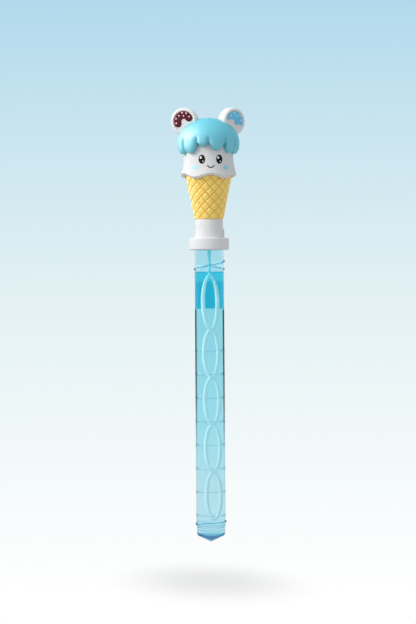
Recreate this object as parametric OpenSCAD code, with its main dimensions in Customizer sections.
// Bubble wand with an ice cream handle.
// All sizes are in millimetres. Z runs up the tube from its tip, and the face looks along -Y.

/* [Tube] */
// Outside diameter of the tube
tube_od = 25.6; // [23:0.2:30]
// Wall of the tube
tube_wall = 1.2; // [0.9:0.1:1.6]
// Length of the tube from its tip to its mouth
tube_len = 262.3; // [220:0.1:300]
// Height of the pointed end below its rounded corner
tip_h = 4.6; // [3.8:0.1:6]
// Radius of the moulding nub at the tip
nub_r = 0.9; // [0.6:0.1:1.4]
// Radius of the corner between the pointed end and the wall
corner_r = 3; // [2.4:0.1:3.6]
// Step in at the foot of the tube, which a stand can take
foot_step = 0.4; // [0.3:0.05:0.6]
// Straight height of the foot
foot_h = 6; // [5:0.1:7]
// Number of moulded rings round the tube
ring_count = 8; // [4:1:10]
// How far a ring stands out
ring_h = 0.3; // [0.2:0.05:0.5]
// Width of a ring where it meets the wall
ring_w = 1; // [0.6:0.1:1.6]

/* [Thread] */
// Rise of the two-start thread in one whole turn
thread_lead = 14.5; // [13:0.1:16]
// How far a thread ridge stands out from the tube
thread_h = 1; // [0.8:0.05:1.15]
// Width of a thread ridge at its root
thread_root_w = 3; // [2.4:0.1:3.4]
// Width of a thread ridge at its crest
thread_crest_w = 1.2; // [0.8:0.1:1.6]
// Width of a cap lug at its root
lug_root_w = 2; // [1.6:0.1:2.2]
// Width of a cap lug at its crest
lug_crest_w = 1; // [0.6:0.1:1.4]
// Gap between a crest and the wall that it faces
thread_gap = 0.3; // [0.2:0.05:0.4]

/* [Seal] */
// Thickness of the sealing washer
washer_t = 1.2; // [0.8:0.1:2]
// Radius of the hole in the washer
washer_hole_r = 3.2; // [3:0.1:4]
// Gap left on each side of the washer
seal_gap = 0.05; // [0.02:0.01:0.1]

/* [Wand] */
// Diameter of the stem where it turns in the cap
stem_d = 3.5; // [3:0.1:4]
// Diameter of the stem above the loops
stem_thin_d = 2.4; // [2:0.1:2.8]
// Length of the thick part of the stem below the cap
stem_thick_len = 12.5; // [11:0.1:16]
// Length of the taper from thick to thin
stem_taper_len = 3; // [2:0.1:5]
// Distance from the mouth of the tube down to the first loop
stem_drop = 29.5; // [22:0.1:36]
// Height of the lower end of the last loop above the tip
wand_foot_z = 19.4; // [16:0.1:30]
// Number of loops
loop_count = 5; // [3:1:6]
// Outside width of a loop
loop_w = 12.8; // [11:0.1:14]
// Width of the rim of a loop
rim_w = 3.2; // [2.6:0.1:3.4]
// Thickness of the loops from front to back
loop_t = 3.2; // [2.6:0.1:3.6]
// Lean of the wand to the right, in degrees
wand_lean = 0.55; // [0:0.05:0.9]
// Radius of the button that snaps through the cap
button_r = 2.7; // [2.4:0.05:3]
// Height of the button
button_h = 3; // [2:0.1:4]
// Radius of the collar under the cap
collar_r = 2.6; // [2.4:0.05:2.75]
// Radial gap between the stem and the cap
turn_gap = 0.08; // [0.04:0.01:0.1]
// Play of the stem along its axis at each side
end_play = 0.1; // [0.05:0.01:0.2]

/* [Cap] */
// Outside diameter of the flange
flange_od = 35; // [33.5:0.1:40]
// Height of the flange
flange_h = 10.4; // [9.5:0.1:12]
// Round of the flange edges
flange_round = 1.2; // [0.6:0.1:1.6]
// Thickness of the floor inside the cap
cap_floor_t = 1.8; // [1.4:0.1:2.4]
// Height of the neck above the flange
neck_h = 16.6; // [14:0.1:20]
// Diameter of the neck at the flange
neck_low_d = 25; // [24.4:0.1:26]
// Diameter of the neck at its top
neck_top_d = 24.3; // [23.6:0.1:25]
// Wall of the neck
neck_wall = 2; // [1.6:0.1:2.4]
// Height of the spigot that holds the cone
spigot_h = 8; // [5:0.1:10]
// Width of the small ribs at the foot of the neck
neck_rib_w = 2.4; // [1.6:0.1:3]
// How far these ribs stand out
neck_rib_out = 0.9; // [0.6:0.1:1.2]
// Height of these ribs
neck_rib_h = 8.5; // [6:0.1:10]

/* [Cone] */
// Diameter of the cone at its lower end
cone_low_d = 25.6; // [25:0.1:27]
// Widening of the cone radius for each unit of height
cone_slope_share = 0.2; // [0.17:0.01:0.22]
// Height of the cone
cone_h = 43; // [40:0.1:46]
// Wall of the cone between the grooves
cone_wall = 1.7; // [1.5:0.1:2]
// Depth of the waffle grooves
waffle_depth = 0.8; // [0.5:0.05:1]
// Number of waffle diamonds round the cone
waffle_count = 12; // [10:1:14]
// Height of one waffle diamond
waffle_h = 8.6; // [8:0.1:9.4]
// Plain band above the waffle
cone_band_h = 2.3; // [1.6:0.1:3.2]

/* [Head] */
// Largest diameter of the hem
hem_d = 48.8; // [47.6:0.1:51]
// Diameter of the head above the hem
head_d = 43; // [42:0.1:44]
// Height of the straight part of the head above the hem
head_side_h = 20.8; // [18.6:0.1:23]
// Height of the dome of the head
head_dome_h = 23.5; // [21:0.1:26]
// Wall of the head
head_wall = 2.6; // [2:0.1:3]
// Height of the waves in the hem
hem_wave = 1.6; // [0.8:0.05:1.8]
// Number of waves in the hem
hem_waves = 5; // [4:1:7]
// Dip of the hem at the front
hem_dip = 1; // [0.6:0.1:1.6]
// Depth of the socket that takes the cone
socket_h = 3.6; // [3:0.1:4.5]
// Height of the mean hem below the socket mouth
hem_drop = 2.2; // [1.8:0.1:3]
// Gap between pieces that are pressed or glued together
fit_gap = 0.2; // [0.12:0.01:0.3]

/* [Frosting] */
// Largest diameter of the frosting
frosting_d = 54.8; // [52.6:0.1:57]
// Thickness of the frosting at the top
frosting_top_t = 7; // [6:0.1:8]
// Height of the widest part above the straight side of the head
frosting_rise = 8; // [6.5:0.1:10]
// Depth of the grooves between the drips
drip_groove = 2.4; // [1.6:0.1:2.8]

/* [Ears] */
// Diameter of an ear
ear_d = 23.8; // [22:0.1:25]
// Thickness of an ear
ear_t = 10; // [8:0.1:11]
// Distance of an ear from the middle
ear_x = 20.5; // [20:0.1:22]
// Height of the ear centre below the top of the frosting
ear_drop = 3.1; // [2:0.1:4]
// Turn of an ear to its own side, in degrees
ear_splay = 27; // [20:1:35]
// Turn of both ears to the right, in degrees
ear_turn = 6; // [0:1:8]
// Width of the rim round the dish of an ear
ear_rim = 2.4; // [1.8:0.1:3]
// Depth of the dish
dish_depth = 1; // [0.6:0.1:1.4]
// Round of the ear edges as a share of the rim width
ear_round_share = 0.9; // [0.6:0.01:0.95]
// Radius of the peg that holds an ear
peg_r = 2; // [1.6:0.1:2.4]
// Length of the peg inside the frosting
peg_len = 3; // [2:0.1:3.4]
// Thickness of the glaze in an ear
glaze_t = 1.5; // [1.2:0.1:2]
// Radius of a sprinkle
sprinkle_r = 0.8; // [0.6:0.05:0.95]

/* [Hidden] */
$fn = 96;

tube_r = tube_od / 2;
bore_r = tube_r - tube_wall;
foot_r = tube_r - foot_step;
corner_turn = 66;
corner_z = tip_h + corner_r * sin(corner_turn);
foot_top = corner_z + foot_h;
floor_share = 1.6;
floor_t = tube_wall * floor_share;
ring_top_share = 0.637;
ring_low_share = 0.0873;
ring_crest_share = 0.4;
sink = 0.3;

// Heights up the stack, each one from the one below it
washer_z = tube_len + seal_gap;
cap_floor_z = washer_z + washer_t + seal_gap;
cap_top = cap_floor_z + cap_floor_t;
flange_z = cap_top - flange_h;
neck_top = cap_top + neck_h;
cone_top = neck_top + cone_h;
socket_z = cone_top + fit_gap - socket_h;
hem_z = socket_z - hem_drop;
head_side_top = hem_z + head_side_h;
head_top = head_side_top + head_dome_h;
frosting_mid = head_side_top + frosting_rise;
frosting_top = head_top + frosting_top_t;
ear_z = frosting_top - ear_drop;

// Where the thread ridges and the cap lugs start, as angles from +X
thread_low_share = 0.908;
thread_low_z = tube_len * thread_low_share;
ridge_over = 8;
ridge_step = 10;
skirt_r = tube_r + thread_h + thread_gap;
ridge_room_share = 0.55;
lug_reach_share = 0.4;
lug_room_share = 0.6;
engage_low = flange_z + thread_root_w * ridge_room_share;
engage_high = tube_len - thread_root_w / 2;
lug_below = thread_root_w * lug_reach_share + lug_crest_w / 2 + thread_gap;
low_ridge_turn = [150, 410];
low_ridge_h_share = 0.8;
low_ridge_lead_share = 0.29;

// The wand
chain_top = tube_len - stem_drop;
first_share = 1.148;
loop_h = (chain_top - wand_foot_z) / (first_share + loop_count - 1);
stem_low = cap_floor_z - stem_thick_len;
stem_join = 3;
oval_steps = 64;
oval_share = 1.12;
joint_share = 1.2;
collar_t_share = 0.7;
collar_t = washer_t * collar_t_share;

// The cone, the head and the frosting as tables of shares
waffle_cells = 4;
cone_cols = waffle_count * waffle_cells;
cell_h = waffle_h / waffle_cells;
cone_rows = floor((cone_h - cone_band_h - fit_gap) / cell_h);
cone_low_r = cone_low_d / 2;
cone_top_r = cone_low_r + cone_slope_share * cone_h;
cone_bore_r = cone_low_r - cone_wall;
spigot_r = cone_bore_r - fit_gap / 2;
head_cols = hem_waves * 12;
head_r = head_d / 2;
hem_r = hem_d / 2;
socket_r = cone_top_r + fit_gap;
head_shares = [[1, 0.1], [0.86, 0.19], [0.5, 0.39], [0.24, 0.64], [0.08, 0.855], [0, 1]];
lip_shares = [[0.12, 0.06], [0.6, 0.025], [1.02, 0]];
lip_in_share = 0.05;
socket_wave_share = 0.3;
side_share = 0.85;
dome_steps = 9;
frosting_r = frosting_d / 2;
frosting_gap_share = 1.25;
frosting_gap = fit_gap * frosting_gap_share;
frosting_in = head_r + frosting_gap;
frosting_dome_h = head_dome_h + frosting_gap;
inside_steps = 12;

// The width of each drip in degrees, and how far its tip and the notch before it hang as shares of frosting_rise
drip_turns = [35, 23, 36, 24, 34, 26, 35, 25, 33, 27, 34, 28];
drip_shares = [1.17, 0.45, 0.89, 1.15, 1.2, 0.75, 1.1, 0.65, 1.05, 0.7, 1.15, 1.21];
drip_start = 207;
drip_cols = 6;
notch_shares = [0.9, 0.02, 0.02, 0.02, 0.9, 0.3, 0.2, 0.1, 0.2, 0.1, 0.2, 0.3];
groove_fade_share = 3.2;
groove_power = 4;
roll_power = 0.6;
drip_round_turns = [22.5, 45, 67.5, 84];
drip_sum = sum_to(drip_turns, len(drip_turns));

// The ears
ear_r = ear_d / 2;
ear_round = ear_rim * ear_round_share;
dish_r = ear_r - ear_rim;
glaze_r = dish_r - fit_gap;
room_turns = [25, 45, 65];
peg_turn = 47;
peg_out_share = 0.7;
sprinkle_sink_share = 0.33;
glaze_turn = -18;

// Each glaze and its dots, as shares of the glaze radius
crescent_turns = [-2, 166];
crescent_mid_share = 0.6;
crescent_half_share = 0.36;
crescent_steps = 12;
right_bite_share = 1.2;
right_drop_share = 0.9;
right_spot_shares = [[-0.66, 0.16, 0.24], [-0.2, 0.3, 0.2], [0.3, 0.06, 0.3], [0.76, 0.1, 0.2]];
left_dot_shares = [[-0.66, 0.22], [-0.5, 0.6], [-0.14, 0.78], [0.24, 0.6], [0.58, 0.44], [0.72, 0.02], [-0.18, 0.46]];
right_dot_shares = [[-0.62, 0.36], [-0.3, 0.7], [0.06, 0.5], [0.4, 0.72], [0.66, 0.3]];

function sum_to(t, n) = n <= 0 ? 0 : t[n - 1] + sum_to(t, n - 1);
function pol(r, a, z) = [r * cos(a), r * sin(a), z];
function arc(x, z, r, a0, a1, n) = [for (i = [0:n])
    let (a = a0 + (a1 - a0) * i / n) [x + r * cos(a), z + r * sin(a)]];
function flat(t) = [for (row = t) for (p = row) p];

// Skin over a list of rings with the same number of points, from the outer top down and up inside
module ring_skin(rings) {
    n = len(rings[0]);
    m = len(rings);
    polyhedron(points = flat(rings), faces = [for (i = [0:m - 1]) for (j = [0:n - 1])
        let (k = (i + 1) % m, l = (j + 1) % n, a = i * n + j, b = i * n + l, c = k * n + l, d = k * n + j)
        each crossed(i + waffle_cells / 2, j) ? [[a, b, d], [b, c, d]] : [[a, b, c], [a, c, d]]]);
}

// Which way a cell of the cone is split, so that the grooves run along edges
function crossed(i, j) = (i - j + 400) % waffle_cells == 0 ? false
    : (i + j + 1) % waffle_cells == 0 || (i + j) % waffle_cells == 0 || (i + j + 2) % waffle_cells == 0;

// Skin of a dome shell: outer top point, rings down the outside and up the inside, inner top point
module dome_skin(outer_top, rings, inner_top) {
    n = len(rings[0]);
    m = len(rings);
    last = n * m + 1;
    polyhedron(points = [[0, 0, outer_top], each flat(rings), [0, 0, inner_top]], faces = [
        for (j = [0:n - 1]) [0, 1 + (j + 1) % n, 1 + j],
        for (i = [0:m - 2]) for (j = [0:n - 1])
            let (l = (j + 1) % n, a = 1 + i * n + j, b = 1 + i * n + l)
            each [[a, b, b + n], [a, b + n, a + n]],
        for (j = [0:n - 1]) [1 + (m - 1) * n + j, 1 + (m - 1) * n + (j + 1) % n, last]]);
}

// A helical ridge from angle a0 to a1 that starts at height z0 and runs out at both ends
module ridge(root_r, crest_r, z0, lead, a0, a1, root_w, crest_w) {
    n = ceil((a1 - a0) / ridge_step);
    side = crest_r > root_r ? -1 : 1;
    wall_share = 0.25;
    sections = [for (i = [0:n]) let (
        a = a0 + (a1 - a0) * i / n,
        z = z0 + lead * (a - a0) / 360,
        grow = min(1, wall_share + min(i, n - i) / 2),
        cr = root_r + (crest_r - root_r) * grow)
        [pol(root_r, a, z + side * root_w / 2), pol(cr, a, z + side * crest_w / 2),
         pol(cr, a, z - side * crest_w / 2), pol(root_r, a, z - side * root_w / 2)]];
    polyhedron(points = flat(sections), faces = [[3, 2, 1], [3, 1, 0],
        [4 * n, 4 * n + 1, 4 * n + 2], [4 * n, 4 * n + 2, 4 * n + 3],
        for (i = [0:n - 1]) for (k = [0:3])
            let (a = 4 * i + k, b = 4 * i + (k + 1) % 4)
            each [[a, b, b + 4], [a, b + 4, a + 4]]]);
}

// Angle at which a thread start, counted from its angle at thread_low_z, reaches a height
function turn_at(z) = (z - thread_low_z) * 360 / thread_lead;

module tube_ridge(start, from_a, to_a) {
    ridge(tube_r - sink, tube_r + thread_h, thread_low_z + thread_lead * from_a / 360, thread_lead,
        start + from_a, start + to_a, thread_root_w, thread_crest_w);
}

module tube() {
    color([0.55, 0.86, 0.93, 0.6]) union() {
        rotate_extrude() polygon([[0, 0], [nub_r, 0],
            each arc(foot_r - corner_r, corner_z, corner_r, -corner_turn, 0, 6),
            [foot_r, foot_top], [tube_r, foot_top], [tube_r, tube_len], [bore_r, tube_len],
            each arc(bore_r - corner_r + tube_wall, corner_z + floor_t / 2, corner_r - tube_wall, 0, -corner_turn, 6),
            [nub_r, floor_t], [0, floor_t]]);
        for (i = [0:ring_count - 1]) {
            share = ring_low_share + (ring_top_share - ring_low_share) * i / (ring_count - 1);
            translate([0, 0, tube_len * share]) rotate_extrude() polygon([
                [tube_r - sink, -ring_w / 2], [tube_r, -ring_w / 2],
                [tube_r + ring_h, -ring_w * ring_crest_share / 2],
                [tube_r + ring_h, ring_w * ring_crest_share / 2],
                [tube_r, ring_w / 2], [tube_r - sink, ring_w / 2]]);
        }
        // the run-out of the thread that shows below the cap, one ridge across the front and one behind
        tube_ridge(180, -ridge_over, 180 + ridge_over);
        tube_ridge(360, -ridge_over, 120);
        // the thread that the cap holds
        tube_ridge(180, turn_at(engage_low), turn_at(engage_high));
        tube_ridge(360, turn_at(engage_low), turn_at(engage_high));
        // the low ridge near the bottom
        ridge(tube_r - sink, tube_r + thread_h * low_ridge_h_share, foot_top + thread_root_w * ridge_room_share,
            thread_lead * low_ridge_lead_share, low_ridge_turn[0], low_ridge_turn[1], thread_root_w, thread_crest_w);
    }
}

module sealing_washer() {
    color([0.93, 0.93, 0.9]) translate([0, 0, washer_z]) difference() {
        cylinder(r = (tube_r + bore_r) / 2 + sink, h = washer_t);
        translate([0, 0, -washer_t]) cylinder(r = washer_hole_r, h = 3 * washer_t);
    }
}

// An oval of a given height and width that comes to a soft point at each end
module pointed_oval(h, w) {
    polygon([for (i = [0:oval_steps - 1]) let (t = 360 * i / oval_steps)
        [sign(sin(t)) * w / 2 * pow(abs(sin(t)), oval_share), h / 2 * cos(t)]]);
}

module loop(h) {
    rotate([90, 0, 0]) linear_extrude(height = loop_t, center = true) difference() {
        pointed_oval(h + stem_join, loop_w);
        pointed_oval(h - rim_w * joint_share, loop_w - 2 * rim_w);
    }
}

module wand_stem() {
    color([0.86, 0.96, 0.97]) union() {
        // the button above the cap floor, the shaft through it and the collar below it
        translate([0, 0, cap_top + end_play]) cylinder(r1 = button_r, r2 = stem_thin_d / 2, h = button_h);
        translate([0, 0, stem_low]) cylinder(r = stem_d / 2, h = cap_top + end_play + sink - stem_low);
        translate([0, 0, cap_floor_z - end_play - collar_t]) cylinder(r = collar_r, h = collar_t);
        translate([0, 0, stem_low - stem_taper_len])
            cylinder(r1 = stem_thin_d / 2, r2 = stem_d / 2, h = stem_taper_len);
        translate([0, 0, stem_low]) rotate([0, -wand_lean, 0]) translate([0, 0, -stem_low]) {
            translate([0, 0, chain_top - stem_join])
                cylinder(r = stem_thin_d / 2, h = stem_low - stem_taper_len + sink - chain_top + stem_join);
            translate([0, 0, chain_top - first_share * loop_h / 2]) loop(first_share * loop_h);
            for (i = [1:loop_count - 1])
                translate([0, 0, chain_top - loop_h * (first_share + i - 1 / 2)]) loop(loop_h);
        }
    }
}

module cap_lug(start) {
    low = turn_at(flange_z + lug_below + lug_root_w * lug_room_share);
    high = turn_at(engage_high - sink);
    ridge(skirt_r + sink, tube_r + thread_gap, thread_low_z - lug_below + thread_lead * low / 360, thread_lead,
        start + low, start + high, lug_root_w, lug_crest_w);
}

module screw_cap() {
    flange_r = flange_od / 2;
    color([0.93, 0.93, 0.94]) union() {
        difference() {
            rotate_extrude() polygon([[skirt_r, flange_z],
                each arc(flange_r - flange_round, flange_z + flange_round, flange_round, -90, 0, 5),
                each arc(flange_r - flange_round, cap_top - flange_round, flange_round, 0, 90, 5),
                [neck_low_d / 2, cap_top], [neck_top_d / 2, neck_top], [spigot_r, neck_top],
                [spigot_r, neck_top + spigot_h], [spigot_r - neck_wall, neck_top + spigot_h],
                [spigot_r - neck_wall, cap_top], [0, cap_top], [0, cap_floor_z], [skirt_r, cap_floor_z]]);
            translate([0, 0, cap_floor_z - cap_floor_t]) cylinder(r = stem_d / 2 + turn_gap, h = 3 * cap_floor_t);
        }
        cap_lug(180);
        cap_lug(360);
        for (side = [0, 180]) rotate([0, 0, side])
            translate([neck_top_d / 2 - neck_wall / 2, -neck_rib_w / 2, cap_top - sink])
                cube([neck_low_d / 2 + neck_rib_out - neck_top_d / 2 + neck_wall / 2, neck_rib_w, neck_rib_h]);
    }
}

function cone_r(z) = cone_low_r + cone_slope_share * (z - neck_top);

module cone_handle() {
    outer = [for (i = [0:cone_rows]) let (z = cone_top - cone_band_h - i * cell_h)
        [for (j = [0:cone_cols - 1])
            let (k = i + waffle_cells / 2,
                groove = (k + j) % waffle_cells == 0 || (k - j + 400) % waffle_cells == 0)
            pol(cone_r(z) - (groove ? waffle_depth : 0), 360 * j / cone_cols, z)]];
    color([0.9, 0.78, 0.48]) ring_skin([
        circle_ring(cone_top_r, cone_top),
        each outer,
        circle_ring(cone_low_r - waffle_depth / 2, neck_top + fit_gap / 2),
        circle_ring(cone_bore_r, neck_top + fit_gap / 2),
        circle_ring(cone_bore_r, neck_top + spigot_h + fit_gap),
        circle_ring(cone_top_r - cone_wall, cone_top)]);
}

function circle_ring(r, z) = [for (j = [0:cone_cols - 1]) pol(r, 360 * j / cone_cols, z)];

// Wave of the hem at an angle, with a dip at the front
function wave(a) = hem_wave * cos(hem_waves * (a - 270)) - hem_dip * cos(a - 270);
function head_ring(r, z, share) = [for (j = [0:head_cols - 1])
    let (a = 360 * j / head_cols) pol(r, a, z + share * wave(a))];

module ice_cream_head() {
    dome = [for (i = [1:dome_steps]) let (t = 90 * i / dome_steps)
        head_ring(head_r * sin(t), head_side_top + head_dome_h * cos(t), 0)];
    side = [for (k = [len(head_shares) - 1:-1:0]) let (s = head_shares[k])
        head_ring(head_r + (hem_r - head_r) * s[0], hem_z + head_side_h * s[1] * side_share, 1 - s[1])];
    in_r = head_r - head_wall;
    inside = [for (i = [dome_steps - 1:-2:1]) let (t = 90 * i / dome_steps)
        head_ring(in_r * sin(t), head_side_top + (head_dome_h - head_wall) * cos(t), 0)];
    lip = hem_r - socket_r;
    color([0.95, 0.95, 0.95]) dome_skin(head_top, [
        each dome,
        each side,
        for (s = lip_shares) head_ring(hem_r - lip * s[0], hem_z + head_side_h * s[1], 1),
        head_ring(socket_r + lip * lip_in_share, socket_z, socket_wave_share),
        head_ring(socket_r, cone_top + fit_gap, 0),
        head_ring(in_r, cone_top + fit_gap, 0),
        head_ring(in_r, head_side_top, 0),
        each inside],
        head_side_top + head_dome_h - head_wall);
}

// Every column of the frosting: its angle, its place across its drip from -1 to 1, and the hang of its edge
function column(k, i) = let (u = -1 + 2 * i / drip_cols)
    [drip_start + (sum_to(drip_turns, k) + drip_turns[k] * i / drip_cols) * 360 / drip_sum, u,
     hang(drip_shares[k], notch_shares[k], notch_shares[(k + 1) % len(notch_shares)], u)];
function hang(tip, before, after, u) = let (notch = before + (after - before) * (u + 1) / 2)
    notch + (tip - notch) * (1 - u * u);
columns = [for (k = [0:len(drip_turns) - 1]) for (i = [0:drip_cols - 1]) column(k, i)];

// Outer radius of the frosting at a column, from its groove, at a share of the way up the dome
function frosting_out(c, up) = frosting_r
    - drip_groove * pow(c[1], groove_power) * max(0, 1 - up * groove_fade_share);

module frosting_solid() {
    rise = frosting_top - frosting_mid;
    upper = [for (i = [1:dome_steps]) let (t = 90 * i / dome_steps)
        [for (c = columns) pol(frosting_out(c, cos(t)) * sin(t), c[0], frosting_mid + rise * cos(t))]];
    lower = [for (t = drip_round_turns) [for (c = columns)
        let (r = frosting_out(c, 0))
        pol(frosting_in + (r - frosting_in) * pow(cos(t), roll_power), c[0],
            frosting_mid - (frosting_mid - edge_z(c)) * sin(t))]];
    edge = [for (c = columns) pol(frosting_in * sin(edge_turn(c)), c[0], edge_z(c))];
    dome_skin(frosting_top, [each upper, each lower, edge, each inside_rows()],
        head_side_top + frosting_dome_h);
}

// Height of the edge of the frosting at a column, and the turn round the dome of the head where that lies
function edge_z(c) = frosting_mid - frosting_rise * c[2];
function edge_turn(c) = edge_z(c) < head_side_top ? 90 : acos((edge_z(c) - head_side_top) / frosting_dome_h);

// Rings up the inside of the frosting, from just above its edge to the crown
function inside_rows() = [for (i = [inside_steps - 1:-1:1]) [for (c = columns)
    let (t = edge_turn(c) * i / inside_steps)
    pol(frosting_in * sin(t), c[0], head_side_top + frosting_dome_h * cos(t))]];

// A ball that just clears the dome of the frosting where the ears stand
module frosting_room() {
    rise = frosting_top - frosting_mid;
    near = [frosting_r * sin(room_turns[0]), rise * cos(room_turns[0])];
    mid = [frosting_r * sin(room_turns[1]), rise * cos(room_turns[1])];
    far = [frosting_r * sin(room_turns[2]), rise * cos(room_turns[2])];
    c = (near * near - far * far) / (2 * (near[1] - far[1]));
    room_r = max(norm(near - [0, c]), norm(mid - [0, c])) + fit_gap / 4;
    translate([0, 0, frosting_mid + c]) sphere(r = room_r);
}

// The peg of an ear, from inside the ear down into the frosting
module ear_peg(gap) {
    rise = frosting_top - frosting_mid;
    foot = [frosting_r * sin(peg_turn), frosting_mid + rise * cos(peg_turn)];
    lean = atan2(ear_x - foot[0], ear_z - foot[1]);
    len_out = norm([ear_x - foot[0], ear_z - foot[1]]);
    translate([foot[0], 0, foot[1]]) rotate([0, lean, 0]) translate([0, 0, -peg_len - gap])
        cylinder(r = peg_r + gap, h = peg_len + gap + len_out * peg_out_share);
}

module frosting() {
    color([0.6, 0.88, 0.93]) difference() {
        frosting_solid();
        ear_peg(fit_gap / 2);
        mirror([1, 0, 0]) ear_peg(fit_gap / 2);
    }
}

// Puts a piece drawn in the plane of an ear, facing +Z, onto the right ear
module on_ear(splay) {
    translate([ear_x, 0, ear_z]) rotate([0, 0, splay]) rotate([90, 0, 0]) children();
}

module ear(splay) {
    half = ear_t / 2;
    union() {
        difference() {
            on_ear(splay) rotate_extrude() polygon([[0, -half],
                each arc(ear_r - ear_round, ear_round - half, ear_round, -90, 0, 5),
                each arc(ear_r - ear_round, half - ear_round, ear_round, 0, 90, 5),
                [dish_r, half], [dish_r, half - dish_depth], [0, half - dish_depth]]);
            frosting_room();
        }
        ear_peg(0);
    }
}

module right_ear() {
    color([0.94, 0.94, 0.95]) ear(ear_splay + ear_turn);
}

module left_ear() {
    color([0.94, 0.94, 0.95]) mirror([1, 0, 0]) ear(ear_splay - ear_turn);
}

// Glaze in the plane of an ear: a cap with round drips along its lower edge
module glaze_shape(bite, drop, spots) {
    intersection() {
        circle(r = glaze_r);
        union() {
            difference() {
                circle(r = glaze_r);
                translate([0, -drop * glaze_r]) circle(r = bite * glaze_r);
            }
            for (s = spots) translate([s[0] * glaze_r, s[1] * glaze_r]) circle(r = s[2] * glaze_r);
        }
    }
}

// Glaze as a thick crescent with round ends
module crescent_shape() {
    mid = crescent_mid_share * glaze_r;
    half = crescent_half_share * glaze_r;
    a = crescent_turns[0];
    b = crescent_turns[1];
    polygon([each arc(0, 0, mid + half, a, b, 2 * crescent_steps),
        each arc(mid * cos(b), mid * sin(b), half, b, b + 180, crescent_steps),
        each arc(0, 0, mid - half, b, a, 2 * crescent_steps),
        each arc(mid * cos(a), mid * sin(a), half, a + 180, a + 360, crescent_steps)]);
}

module glaze(splay) {
    difference() {
        on_ear(splay) translate([0, 0, ear_t / 2 - dish_depth]) linear_extrude(height = glaze_t)
            rotate(glaze_turn) children();
        frosting_room();
    }
}

module left_ear_glaze() {
    color([0.35, 0.16, 0.2]) mirror([1, 0, 0]) glaze(ear_splay - ear_turn) crescent_shape();
}

module right_ear_glaze() {
    color([0.4, 0.72, 0.86]) glaze(ear_splay + ear_turn)
        glaze_shape(right_bite_share, right_drop_share, right_spot_shares);
}

// Round sprinkles that sit half in the glaze
module sprinkles(splay, dots) {
    glaze_top = ear_t / 2 - dish_depth + glaze_t + fit_gap / 4;
    for (d = dots) on_ear(splay) rotate(glaze_turn) translate([d[0] * glaze_r, d[1] * glaze_r, glaze_top])
        intersection() {
            translate([0, 0, -sprinkle_r * sprinkle_sink_share]) sphere(r = sprinkle_r);
            cylinder(r = sprinkle_r, h = sprinkle_r);
        }
}

module left_sprinkles() {
    color([0.97, 0.95, 0.93]) mirror([1, 0, 0]) sprinkles(ear_splay - ear_turn, left_dot_shares);
}

module right_sprinkles() {
    color([0.9, 0.96, 0.99]) sprinkles(ear_splay + ear_turn, right_dot_shares);
}

tube();
sealing_washer();
wand_stem();
screw_cap();
cone_handle();
ice_cream_head();
frosting();
left_ear();
right_ear();
left_ear_glaze();
right_ear_glaze();
left_sprinkles();
right_sprinkles();
